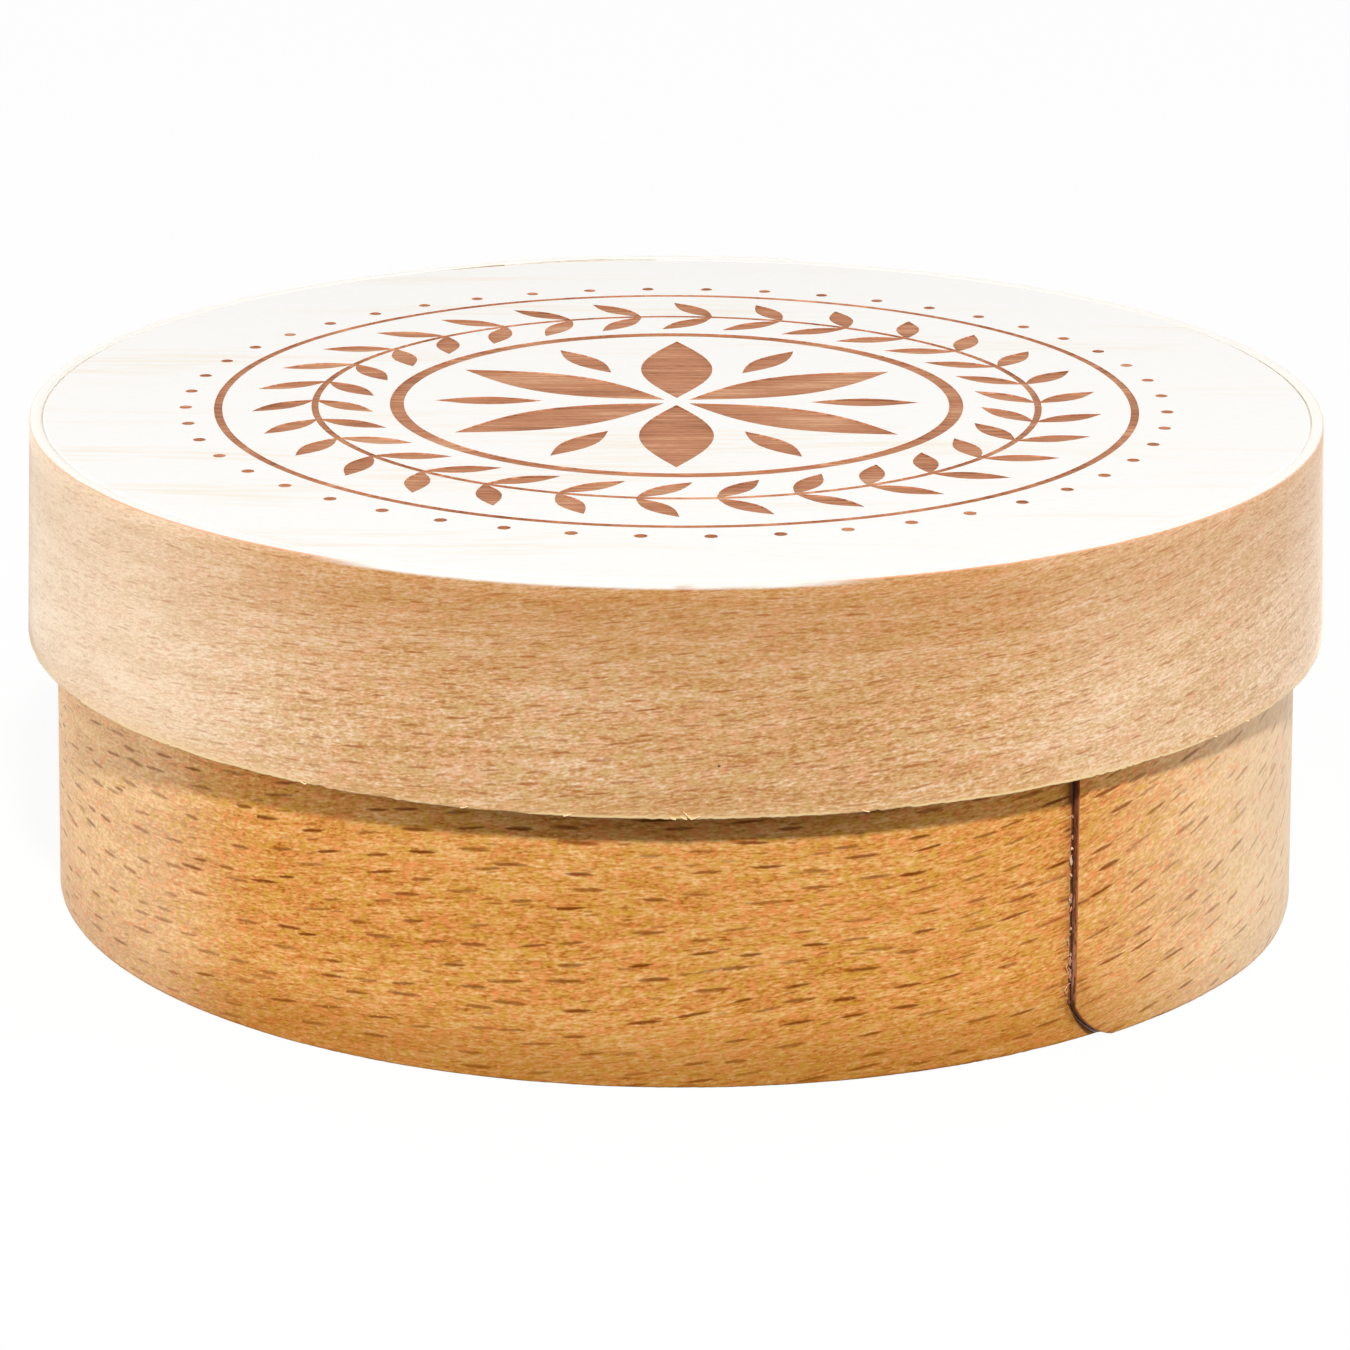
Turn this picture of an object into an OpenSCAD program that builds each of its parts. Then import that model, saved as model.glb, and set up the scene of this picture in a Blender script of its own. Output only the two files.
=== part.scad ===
// Round bentwood box for a wheel of soft cheese.
// The base and the lid are each a strip of beech veneer, bent into a hoop whose ends lap and are glued,
// with a flat disc glued inside the hoop. The lid slips over the base.
// The origin is at the centre of the underside, +Z is up, and -Y is the front.

/* [Lid] */
// Outer diameter at the lid's top edge
lid_d = 110.4; // [90:0.2:130]
// Height of the lid's band
lid_h = 18.6; // [12:0.2:26]
// How far the lid's band leans out from its top edge to its lower edge, along a radius
lid_flare = 0.7; // [0.2:0.1:1.4]
// Thickness of the lid's veneer
lid_band_t = 1; // [0.6:0.05:1.4]
// Thickness of the lid's disc
lid_disc_t = 2.4; // [1.6:0.1:4]
// Length of the lap in the lid's band
lid_lap = 20; // [14:1:30]
// Direction of the lid's seam, from the right-hand side round towards the back
lid_seam = 75; // [0:1:180]

/* [Base] */
// Height of the base's band
base_h = 39; // [30:0.5:60]
// How far the base's band leans in from its foot to its rim, along a radius
base_taper = 0.8; // [0:0.1:1.2]
// Thickness of the base's veneer
base_band_t = 0.8; // [0.6:0.05:1.4]
// Thickness of the base's disc
base_disc_t = 2.4; // [1.6:0.1:4]
// Length of the lap in the base's band
base_lap = 20; // [14:1:30]
// Direction of the base's seam, from the right-hand side round towards the back
base_seam = -54; // [-180:1:180]

/* [Strip ends] */
// Length of the rounded cut at a strip's corners, along the strip
corner_along = 3.9; // [2:0.1:5]
// Height of the rounded cut at a strip's corners
corner_up = 3.1; // [2:0.1:5]
// Radius of the rounded cut
corner_r = 6; // [4:0.5:10]

/* [Fit] */
// Gap between the thickest part of the base's rim and the inside of the lid, along a radius
slip_gap = 0.2; // [0.1:0.05:0.6]
// Gap between the base's rim and the lid's disc with the lid on
seat_gap = 0.1; // [0.05:0.05:0.5]
// Room for the glue between two glued faces
glue_gap = 0.1; // [0.06:0.01:0.2]
// Gap between a glue film and each face that it holds
film_gap = 0.01; // [0.005:0.005:0.02]
// How far the lap's glue stays back from the veneer's edges
glue_inset = 0.4; // [0.2:0.1:1]
// Width of the sanded bevel on the outer edges
edge_break = 0.15; // [0.05:0.05:0.3]

/* [Hidden] */
$fn = 180;

total_h = base_h + seat_gap + lid_disc_t;
lid_foot_z = total_h - lid_h;
lid_step = lid_band_t + glue_gap;
base_step = base_band_t + glue_gap;
base_rim_r = lid_d / 2 - lid_band_t - slip_gap - base_step;

// Centre of the rounded cut, along the strip and up from the strip's corner
corner_chord = norm([corner_along, corner_up]);
corner_rise = sqrt(corner_r * corner_r - corner_chord * corner_chord / 4);
corner_mid = [corner_along, corner_up] / 2 + corner_rise * [corner_up, corner_along] / corner_chord;

// Where the outer layer leaves the lap it bends in and then back. Each bend turns by the angle of the
// 7-24-25 triangle, so the arcs meet at round numbers.
bend_dir = [0.96, 0.28];
bend_a = atan2(bend_dir[1], bend_dir[0]);
ramp_dir = [bend_dir[0] * bend_dir[0] - bend_dir[1] * bend_dir[1], 2 * bend_dir[0] * bend_dir[1]];
// How far sweeps run past the planes where they are trimmed, in degrees, and how far the trimming reaches
trim_spare = 5;
trim_reach = 100;

// Radius of each hoop's outer face where it lies against its disc, at height z
function lid_out(z) = lid_d / 2 + lid_flare * (total_h - z) / lid_h;
function base_out(z) = base_rim_r + base_taper * (base_h - z) / base_h;

function turn(len, r) = len / r * 180 / PI;

// Cross-section of a bent strip: it stands from foot_z to rim_z, and its outer edges are bevelled
function strip_profile(foot_r, rim_r, t, foot_z, rim_z) = [
    [foot_r - t, foot_z],
    [foot_r - edge_break, foot_z],
    [foot_r, foot_z + edge_break],
    [rim_r, rim_z - edge_break],
    [rim_r - edge_break, rim_z],
    [rim_r - t, rim_z]
];

// Cross-section of a glue film between radii that lean with the strip
function film_profile(foot_r, rim_r, foot_z, rim_z) = [
    [foot_r + film_gap, foot_z],
    [foot_r + glue_gap - film_gap, foot_z],
    [rim_r + glue_gap - film_gap, rim_z],
    [rim_r + film_gap, rim_z]
];

// Part of a revolve from one direction to another, with its radius grown
module sweep(profile, from, to, grow = 0) {
    rotate_extrude(start = from, angle = to - from)
        translate([grow, 0])
            polygon(profile);
}

// All that lies between two directions from a point
module wedge(apex, from_dir, to_dir) {
    linear_extrude(height = 3 * total_h, center = true)
        polygon([apex, apex + trim_reach * from_dir, apex + trim_reach * to_dir]);
}

// What a strip's end loses at one corner. The strip runs from it in direction along, the face in direction up
module corner_cut(depth, along, up) {
    difference() {
        cube([depth, 2 * corner_mid[0], 2 * corner_mid[1]], center = true);
        translate([0, along * corner_mid[0], up * corner_mid[1]])
            rotate([0, 90, 0])
                cylinder(r = corner_r, h = 2 * depth, center = true);
    }
}

// Both corners of a strip's end that stands at direction at, between foot_z and rim_z
module end_cuts(r, at, along, foot_z, rim_z) {
    depth = r / 8;
    rotate([0, 0, at]) {
        translate([r, 0, foot_z]) corner_cut(depth, along, 1);
        translate([r, 0, rim_z]) corner_cut(depth, along, -1);
    }
}

// A strip bent into a hoop that laps over itself. Its outer end is at direction seam and its inner end
// lies under it, lap degrees further on. From there the outer layer swings in by step, along two arcs
// that turn by bend_a each and are tangent where they meet, and runs on round the disc.
module bent_hoop(profile, step, seam, lap, foot_z, rim_z) {
    r = profile[0][0];
    swing = step / (2 * (1 - bend_dir[0]));
    rotate([0, 0, seam + lap]) {
        difference() {
            sweep(profile, -lap, trim_spare, step);
            wedge([0, 0], [1, 0], bend_dir);
            end_cuts(r, -lap, 1, foot_z, rim_z);
        }
        intersection() {
            translate([swing, 0, 0])
                sweep(profile, -trim_spare, bend_a + trim_spare, step - swing);
            wedge([swing, 0], [1, 0], bend_dir);
        }
        intersection() {
            translate(-swing * ramp_dir)
                sweep(profile, bend_a - trim_spare, 2 * bend_a + trim_spare, swing);
            wedge(-swing * ramp_dir, bend_dir, ramp_dir);
        }
        difference() {
            sweep(profile, 2 * bend_a - trim_spare, 360);
            wedge([0, 0], bend_dir, ramp_dir);
            end_cuts(r, 0, -1, foot_z, rim_z);
        }
    }
}

// Glue film between the two layers of a lap, cut round like the strip's ends
module lap_film(profile, seam, lap, foot_z, rim_z) {
    r = profile[0][0];
    inset = turn(glue_inset, r);
    difference() {
        sweep(profile, seam + inset, seam + lap - inset);
        end_cuts(r, seam + inset, 1, foot_z, rim_z);
        end_cuts(r, seam + lap - inset, -1, foot_z, rim_z);
    }
}

// Disc whose outer face is at face_z and whose rim leans with the hoop round it
module disc(face_r, bevel_r, back_r, face_z, bevel_z, back_z) {
    rotate_extrude()
        polygon([[0, face_z], [face_r - edge_break, face_z], [bevel_r, bevel_z], [back_r, back_z], [0, back_z]]);
}

function base_rim_seat(z) = base_out(z) - base_band_t - glue_gap;
function lid_rim_seat(z) = lid_out(z) - lid_band_t - glue_gap;

module base_disc() {
    color([0.93, 0.86, 0.74])
        disc(base_rim_seat(0), base_rim_seat(edge_break), base_rim_seat(base_disc_t),
             0, edge_break, base_disc_t);
}

module base_band() {
    profile = strip_profile(base_out(0), base_out(base_h), base_band_t, 0, base_h);
    color([0.79, 0.58, 0.31])
        bent_hoop(profile, base_step, base_seam, turn(base_lap, base_rim_r), 0, base_h);
}

module base_rim_glue() {
    color([0.62, 0.46, 0.27])
        sweep(film_profile(base_rim_seat(edge_break), base_rim_seat(base_disc_t), edge_break, base_disc_t), 0, 360);
}

module base_lap_glue() {
    profile = film_profile(base_out(glue_inset), base_out(base_h - glue_inset), glue_inset, base_h - glue_inset);
    color([0.62, 0.46, 0.27])
        lap_film(profile, base_seam, turn(base_lap, base_rim_r), glue_inset, base_h - glue_inset);
}

module lid_disc() {
    face_z = total_h;
    bevel_z = face_z - edge_break;
    back_z = face_z - lid_disc_t;
    color([0.97, 0.95, 0.90])
        disc(lid_rim_seat(face_z), lid_rim_seat(bevel_z), lid_rim_seat(back_z), face_z, bevel_z, back_z);
}

module lid_band() {
    profile = strip_profile(lid_out(lid_foot_z), lid_out(total_h), lid_band_t, lid_foot_z, total_h);
    color([0.86, 0.73, 0.57])
        bent_hoop(profile, lid_step, lid_seam, turn(lid_lap, lid_d / 2), lid_foot_z, total_h);
}

module lid_rim_glue() {
    rim_z = total_h - edge_break;
    foot_z = total_h - lid_disc_t;
    color([0.75, 0.62, 0.44])
        sweep(film_profile(lid_rim_seat(foot_z), lid_rim_seat(rim_z), foot_z, rim_z), 0, 360);
}

module lid_lap_glue() {
    foot_z = lid_foot_z + glue_inset;
    rim_z = total_h - glue_inset;
    color([0.75, 0.62, 0.44])
        lap_film(film_profile(lid_out(foot_z), lid_out(rim_z), foot_z, rim_z),
                 lid_seam, turn(lid_lap, lid_d / 2), foot_z, rim_z);
}

base_disc();
base_band();
base_rim_glue();
base_lap_glue();
lid_disc();
lid_band();
lid_rim_glue();
lid_lap_glue();
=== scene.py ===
import math
import random

import bpy
from mathutils import Matrix, Vector, noise
from mathutils.geometry import delaunay_2d_cdt


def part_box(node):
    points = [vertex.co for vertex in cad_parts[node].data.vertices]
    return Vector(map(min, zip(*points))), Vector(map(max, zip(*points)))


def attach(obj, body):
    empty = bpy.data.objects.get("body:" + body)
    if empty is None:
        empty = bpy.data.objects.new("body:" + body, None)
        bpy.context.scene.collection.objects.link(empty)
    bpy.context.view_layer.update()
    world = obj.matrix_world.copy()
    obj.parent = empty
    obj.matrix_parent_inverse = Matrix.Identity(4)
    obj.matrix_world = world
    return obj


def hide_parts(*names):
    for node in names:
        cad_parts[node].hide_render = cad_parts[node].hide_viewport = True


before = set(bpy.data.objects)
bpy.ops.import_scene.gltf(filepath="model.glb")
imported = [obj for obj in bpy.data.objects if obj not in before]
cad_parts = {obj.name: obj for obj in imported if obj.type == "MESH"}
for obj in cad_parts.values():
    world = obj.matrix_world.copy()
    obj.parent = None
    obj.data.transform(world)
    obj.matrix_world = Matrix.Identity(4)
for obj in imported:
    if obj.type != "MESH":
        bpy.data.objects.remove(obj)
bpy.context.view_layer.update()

# Sizes below are in millimetres, as in the part, and MM turns them into metres
MM = 0.001

# Where the two bands stand, from the frame
TOP_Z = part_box("lid_disc")[1].z / MM
LID_FOOT_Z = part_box("lid_band")[0].z / MM
BASE_RIM_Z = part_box("base_band")[1].z / MM

# The part's driving dimensions
LID_TOP_R = 55.2
LID_FLARE = 0.7
LID_BAND_T = 1.0
BASE_BAND_T = 0.8
BASE_TAPER = 0.8
SLIP_GAP = 0.2
GLUE_GAP = 0.1
LAP_LEN = 20.0
LID_SEAM = math.radians(75)
BASE_SEAM = math.radians(-54)
CORNER_ALONG = 3.9
CORNER_UP = 3.1
CORNER_R = 6.0
BEND = math.atan2(0.28, 0.96)
EDGE_BREAK = 0.15


class Hoop:
    """A strip of veneer bent round so that its ends lap"""

    def __init__(self, foot_z, rim_z, foot_r, rim_r, thick, seam):
        self.foot_z, self.rim_z = foot_z, rim_z
        self.foot_r, self.rim_r = foot_r, rim_r
        self.thick, self.seam = thick, seam
        self.step = thick + GLUE_GAP
        self.lap_end = seam + LAP_LEN / rim_r

    def radius(self, z):
        """Of the outer face, where the strip lies against its disc"""
        share = (z - self.foot_z) / (self.rim_z - self.foot_z)
        return self.foot_r + (self.rim_r - self.foot_r) * share

    def sweeps(self):
        """The arcs of the strip from its outer end to its inner end: from, to, centre and growth"""
        swing = self.step / (2 * (1 - math.cos(BEND)))
        turn_back = self.lap_end + BEND
        ramp_end = turn_back + BEND
        return [
            (self.seam, self.lap_end, Vector((0, 0)), self.step),
            (self.lap_end, turn_back, swing * heading(self.lap_end), self.step - swing),
            (turn_back, ramp_end, -swing * heading(ramp_end), swing),
            (ramp_end, self.lap_end + math.tau, Vector((0, 0)), 0.0),
        ]


def heading(angle):
    return Vector((math.cos(angle), math.sin(angle)))


BASE_RIM_R = LID_TOP_R - LID_BAND_T - SLIP_GAP - BASE_BAND_T - GLUE_GAP
LID_HOOP = Hoop(LID_FOOT_Z, TOP_Z, LID_TOP_R + LID_FLARE, LID_TOP_R, LID_BAND_T, LID_SEAM)
BASE_HOOP = Hoop(0.0, BASE_RIM_Z, BASE_RIM_R + BASE_TAPER, BASE_RIM_R, BASE_BAND_T, BASE_SEAM)


# Camera and lights

# Found by fitting the rims of the lid and the base in the 1350 pixel wide photograph
PHOTO_W = 1350
FOCAL_PX = 5080.1
CAMERA_DISTANCE = 443.94
CAMERA_ELEVATION = math.radians(17.587)
CAMERA_ROLL = math.radians(0.283)
CAMERA_TARGET = Vector((-0.02, 0.0, 16.84))
SENSOR_W = 36.0


def add_camera():
    camera = bpy.data.cameras.new("camera")
    camera.sensor_width = SENSOR_W
    camera.lens = FOCAL_PX / PHOTO_W * SENSOR_W
    camera.clip_start = 0.01
    camera.clip_end = 20.0
    holder = bpy.data.objects.new("camera", camera)
    bpy.context.scene.collection.objects.link(holder)
    back = Vector((0, -math.cos(CAMERA_ELEVATION), math.sin(CAMERA_ELEVATION)))
    turn = back.to_track_quat("Z", "Y").to_matrix() @ Matrix.Rotation(CAMERA_ROLL, 3, "Z")
    holder.matrix_world = turn.to_4x4()
    holder.location = (CAMERA_TARGET + CAMERA_DISTANCE * back) * MM
    bpy.context.scene.camera = holder


def add_softbox(name, azimuth, elevation, distance, width, height, irradiance):
    """A rectangular lamp aimed at the box, with its distance and size in metres. Its level is the light
    that a face turned to it gets, where 1 shows a colour as it is written. Azimuth 0 is in front of the box
    and 90 is on its right."""
    lamp = bpy.data.lights.new(name, "AREA")
    lamp.shape = "RECTANGLE"
    lamp.size = width
    lamp.size_y = height
    lamp.energy = irradiance * math.pi * math.pi * distance ** 2
    holder = bpy.data.objects.new(name, lamp)
    bpy.context.scene.collection.objects.link(holder)
    a, e = math.radians(azimuth), math.radians(elevation)
    back = Vector((math.sin(a) * math.cos(e), -math.cos(a) * math.cos(e), math.sin(e)))
    holder.rotation_euler = back.to_track_quat("Z", "Y").to_euler()
    holder.location = back * distance + Vector((0, 0, TOP_Z / 2 * MM))


# The sky's light on the box
SKY_LEVEL = 0.08
# To the camera the floor is this white, and this share of that is a glow of its own, so that the box's
# shadow stays. It throws less light back on the box.
FLOOR_WHITE = (0.97, 0.97, 0.97, 1.0)
FLOOR_GLOW = 0.94
FLOOR_BOUNCE = (0.15, 0.15, 0.15, 1.0)
# Half the floor's side, in metres, and how far it lies under the box, in millimetres
FLOOR_HALF = 3.0
FLOOR_DROP = 0.05


def add_sky():
    """White to the camera and in mirrors, and a pale even light on the box"""
    world = bpy.data.worlds.new("studio")
    bpy.context.scene.world = world
    world.use_nodes = True
    tree = world.node_tree
    ground = tree.nodes["Background"]
    ground.inputs["Color"].default_value = (1, 1, 1, 1)
    path = tree.nodes.new("ShaderNodeLightPath")
    seen = tree.nodes.new("ShaderNodeMath")
    seen.operation = "ADD"
    seen.use_clamp = True
    mirrored = tree.nodes.new("ShaderNodeMath")
    mirrored.operation = "ADD"
    tree.links.new(path.outputs["Is Glossy Ray"], mirrored.inputs[0])
    tree.links.new(path.outputs["Is Transmission Ray"], mirrored.inputs[1])
    tree.links.new(path.outputs["Is Camera Ray"], seen.inputs[0])
    tree.links.new(mirrored.outputs[0], seen.inputs[1])
    level = tree.nodes.new("ShaderNodeMapRange")
    level.inputs["To Min"].default_value = SKY_LEVEL
    level.inputs["To Max"].default_value = 1.0
    tree.links.new(seen.outputs[0], level.inputs["Value"])
    tree.links.new(level.outputs[0], ground.inputs["Strength"])


def add_floor():
    half = FLOOR_HALF
    corners = [(-half, -half, 0), (half, -half, 0), (half, half, 0), (-half, half, 0)]
    floor = add_piece("floor", corners, [(0, 1, 2, 3)])
    floor.location.z = -FLOOR_DROP * MM
    g = Graph("floor_paper")
    path = g.add("ShaderNodeLightPath")
    seen = g.math("ADD", path.outputs["Is Camera Ray"], path.outputs["Is Glossy Ray"])
    seen = g.math("ADD", seen, path.outputs["Is Transmission Ray"])
    g.put(g.shader.inputs["Base Color"], g.mix(seen, FLOOR_BOUNCE, FLOOR_WHITE))
    g.put(g.shader.inputs["Roughness"], 1.0)
    g.put(g.shader.inputs["Specular IOR Level"], 0.0)
    glow = g.add("ShaderNodeEmission", {"Color": (1, 1, 1, 1), "Strength": 1.0})
    amount = g.math("MULTIPLY", seen, FLOOR_GLOW)
    mix = g.add("ShaderNodeMixShader", {0: amount, 1: g.shader.outputs[0], 2: glow.outputs[0]})
    g.link_output(mix.outputs[0])
    floor.data.materials.append(g.material)


# Mesh and material helpers


def add_piece(name, points, faces):
    mesh = bpy.data.meshes.new(name)
    mesh.from_pydata([tuple(p) for p in points], [], faces)
    mesh.update()
    piece = bpy.data.objects.new(name, mesh)
    bpy.context.scene.collection.objects.link(piece)
    return piece


def dress(piece, looks, kinds):
    """Gives a piece its materials, and each face the one that its kind names"""
    for look in looks:
        piece.data.materials.append(look)
    piece.data.polygons.foreach_set("material_index", kinds)


def smooth(piece, sharp_angle=40):
    piece.data.shade_smooth()
    piece.data.set_sharp_from_angle(angle=math.radians(sharp_angle))


def srgb(red, green, blue):
    """A colour given as 0 to 255 on the screen, as the shader's linear colour"""

    def linear(level):
        c = level / 255
        return c / 12.92 if c <= 0.04045 else ((c + 0.055) / 1.055) ** 2.4

    return (linear(red), linear(green), linear(blue), 1.0)


# How far a seed of 1 moves a pattern, along each axis and in sizes of its features
SEED_SHIFT = (7.3, 3.1, 1.7)


class Graph:
    """Short ways to add nodes to one material"""

    def __init__(self, name):
        self.material = bpy.data.materials.new(name)
        self.material.use_nodes = True
        self.tree = self.material.node_tree
        self.shader = self.tree.nodes["Principled BSDF"]

    def put(self, socket, value):
        if isinstance(value, bpy.types.NodeSocket):
            self.tree.links.new(value, socket)
        else:
            socket.default_value = value

    def add(self, kind, inputs=None, **settings):
        node = self.tree.nodes.new(kind)
        for key, value in settings.items():
            setattr(node, key, value)
        for key, value in (inputs or {}).items():
            self.put(node.inputs[key], value)
        return node

    def link_output(self, socket):
        self.put(self.tree.nodes["Material Output"].inputs["Surface"], socket)

    def math(self, operation, a, b=0.0, c=0.0):
        return self.add("ShaderNodeMath", {0: a, 1: b, 2: c}, operation=operation).outputs[0]

    def clamp(self, a):
        return self.add("ShaderNodeClamp", {"Value": a}).outputs[0]

    def ramp(self, value, low, high):
        """0 at low and 1 at high, smooth between"""
        node = self.add("ShaderNodeMapRange", {"Value": value, "From Min": low, "From Max": high},
                        interpolation_type="SMOOTHSTEP")
        return node.outputs[0]

    def vector(self, x, y, z=0.0):
        return self.add("ShaderNodeCombineXYZ", {0: x, 1: y, 2: z}).outputs[0]

    def split(self, vector):
        return self.add("ShaderNodeSeparateXYZ", {0: vector}).outputs

    def place_mm(self):
        """Where a point lies in the part's own frame, in millimetres"""
        where = self.add("ShaderNodeTexCoord").outputs["Object"]
        return [self.math("MULTIPLY", part, 1 / MM) for part in self.split(where)]

    def point_vector(self, name):
        """The three parts of a point attribute"""
        return self.split(self.add("ShaderNodeAttribute", attribute_type="GEOMETRY",
                                   attribute_name=name).outputs["Vector"])

    def stretch(self, parts, sizes, seed):
        """Coordinates in which a pattern's features come out with the given sizes"""
        scaled = [self.math("MULTIPLY_ADD", part, 1 / size, seed * shift)
                  for part, size, shift in zip(parts, sizes, SEED_SHIFT)]
        return self.vector(*scaled)

    def noise(self, parts, sizes, seed=0.0, detail=2.0, roughness=0.5):
        place = self.stretch(parts, sizes, seed)
        node = self.add("ShaderNodeTexNoise", {"Vector": place, "Scale": 1.0, "Detail": detail,
                                               "Roughness": roughness})
        return node.outputs["Fac"]

    def mix(self, amount, a, b):
        node = self.add("ShaderNodeMix", data_type="RGBA")
        self.put(node.inputs[0], amount)
        self.put(node.inputs[6], a)
        self.put(node.inputs[7], b)
        return node.outputs[2]

    def finish(self, colour, roughness, specular, height, relief, sheen=0.0):
        shader = self.shader
        self.put(shader.inputs["Base Color"], colour)
        self.put(shader.inputs["Roughness"], roughness)
        self.put(shader.inputs["Specular IOR Level"], specular)
        self.put(shader.inputs["Sheen Weight"], sheen)
        self.put(shader.inputs["Sheen Roughness"], 0.4)
        self.put(shader.inputs["Sheen Tint"], (1.0, 0.94, 0.84, 1.0))
        bump = self.add("ShaderNodeBump", {"Height": height, "Distance": relief * MM, "Strength": 1.0})
        self.put(shader.inputs["Normal"], bump.outputs[0])
        return self.material


# Materials

# Point attributes of a strip: its own coordinates, and how far a point is from its foot, rim and ends
STRIP_PLACE = "strip_place"
STRIP_EDGES = "strip_edges"

# How the two bands look. A pale zone, partly paler veneer and partly painted light on the band's sides, or a
# chafed stretch of the rim is given by its middle along the strip, how far it reaches and, for a zone, how
# strong it is. A layer of flecks is given by the size of its cells, the half sizes of a fleck, the share of
# cells that hold one, and how dark they are. The pinhole is given by its place along and up the strip and
# its radius, and a mark at the foot by its colour, its reach where it is wear, and its amount.
BASE_LOOK = {
    "slope": 0.09,
    "dark": srgb(172, 92, 4),
    "middle": srgb(225, 157, 80),
    "pale": srgb(253, 208, 142),
    "pale_and_lit_zones": [(58.0, 62.0, 0.88), (64.0, 50.0, 1.0), (234.0, 32.0, 0.48)],
    "pale_and_lit": srgb(252, 227, 192),
    "pale_and_lit_amount": 0.85,
    "hues": 1.0,
    "rosy": srgb(240, 148, 84),
    "olive": srgb(218, 165, 62),
    "fleck": srgb(128, 62, 6),
    "flecks": [((4.4, 1.7), (1.35, 0.18), 0.85, 1.0), ((2.6, 1.0), (0.65, 0.11), 0.3, 0.6)],
    "glints": 0.9,
    # Painted shade: the base darkens towards its foot
    "painted_foot_shade": (srgb(176, 112, 36), 0.42),
    "foot_wear": (srgb(146, 86, 30), 0.3, 0.4),
    "chafed": (120.0, 30.0),
    "gloss": 0.05,
    "sheen": 0.03,
}
LID_LOOK = {
    "slope": 0.08,
    "dark": srgb(184, 120, 52),
    "middle": srgb(222, 174, 121),
    "pale": srgb(250, 220, 188),
    "pale_and_lit_zones": [(107.0, 60.0, 1.0), (240.0, 28.0, 0.4)],
    "pale_and_lit": srgb(250, 228, 198),
    "pale_and_lit_amount": 0.58,
    "hues": 0.7,
    "rosy": srgb(236, 168, 128),
    "olive": srgb(214, 178, 114),
    "fleck": srgb(166, 92, 38),
    "flecks": [((3.0, 1.1), (0.95, 0.11), 0.75, 0.8), ((1.8, 0.7), (0.5, 0.1), 0.65, 0.6)],
    "pinhole": (191.4, 27.2, 0.12),
    "foot_glow": (srgb(255, 208, 148), 0.34),
    "foot_wear": (srgb(255, 224, 164), 0.36, 0.9),
    # Painted shade, darker towards the lid band's rim
    "painted_rim_shade": 0.4,
    "chafed": (181.0, 24.0),
    "gloss": 0.12,
    "sheen": 0.42,
}
# The cut edge of the veneer, the same for both bands
CUT_EDGE = srgb(252, 249, 242)
# The grain climbs faster over this length from the outer end, by this much more
STEEP_LEN = 55.0
STEEP_SLOPE = 0.12


class VeneerGraph(Graph):
    """A material that is drawn on the unbent strip, by the place along it, up it and into its thickness.
    Its grain climbs a little along the strip, and wanders."""

    def __init__(self, name, slope, seed):
        super().__init__(name)
        self.seed = seed
        self.along, self.up, self.deep = self.point_vector(STRIP_PLACE)
        self.from_foot, self.from_rim, _ = self.point_vector(STRIP_EDGES)
        sway = self.noise((self.along, self.up, self.deep), (45, 20, 30), seed, detail=1.0)
        climb = self.math("MULTIPLY_ADD", self.along, -slope, self.up)
        climb = self.math("MULTIPLY_ADD", self.math("MINIMUM", self.along, STEEP_LEN), -STEEP_SLOPE, climb)
        self.grain = self.math("MULTIPLY_ADD", sway, 5.0, climb)

    def grained(self, sizes, number, detail=1.0, roughness=0.5):
        """Noise that is drawn out along the grain. Each number gives another pattern."""
        place = (self.along, self.grain, self.deep)
        return self.noise(place, sizes, self.seed + number, detail, roughness)

    def near(self, middle, reach, full):
        """1 up to full from a place along the strip, and 0 past reach"""
        gap = self.math("ABSOLUTE", self.math("SUBTRACT", self.along, middle))
        return self.ramp(gap, reach, full)

    def less_in(self, zone, share):
        """1 outside a zone, and share less in it"""
        return self.math("MULTIPLY_ADD", zone, -share, 1.0)


def pale_and_lit_zone(g, stretches):
    """Up to 1 in the paler stretches of the strip, and 0 outside them. They are partly paler veneer and
    partly painted light on the band's sides.
    """
    zone = 0.0
    for middle, reach, amount in stretches:
        zone = g.math("MAXIMUM", zone, g.math("MULTIPLY", g.near(middle, reach, reach / 2), amount))
    return zone


def foot_glow(g, look):
    return g.math("MULTIPLY", g.ramp(g.from_foot, 2.0, 0.2), look["foot_glow"][1])


def wood_tone(g, look, fibre, zone):
    """From -1 in the darkest wood to 1 in the palest, with slanting streaks in the pale zone"""
    speck = g.grained((0.3, 0.16, 0.3), 4)
    streak = g.grained((5, 0.7, 2), 2, detail=2.0, roughness=0.6)
    broad = g.grained((28, 5.5, 8), 1, detail=2.0)
    tone = 0.0
    for layer, strength in ((fibre, 3.3), (speck, 1.6), (streak, 1.8), (broad, 0.9)):
        tone = g.math("MULTIPLY_ADD", g.math("SUBTRACT", layer, 0.5), strength, tone)
    if "foot_glow" in look:
        tone = g.math("MULTIPLY", tone, g.math("MULTIPLY_ADD", foot_glow(g, look), 2.0, 1.0))
    tone = g.math("MULTIPLY", tone, g.math("MULTIPLY_ADD", zone, 0.4, 1.0))
    slant = g.grained((16, 2.0, 3), 7)
    light = g.math("MULTIPLY_ADD", g.ramp(slant, 0.42, 0.60), 0.55, -0.05)
    return g.math("MULTIPLY_ADD", light, zone, tone)


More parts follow.
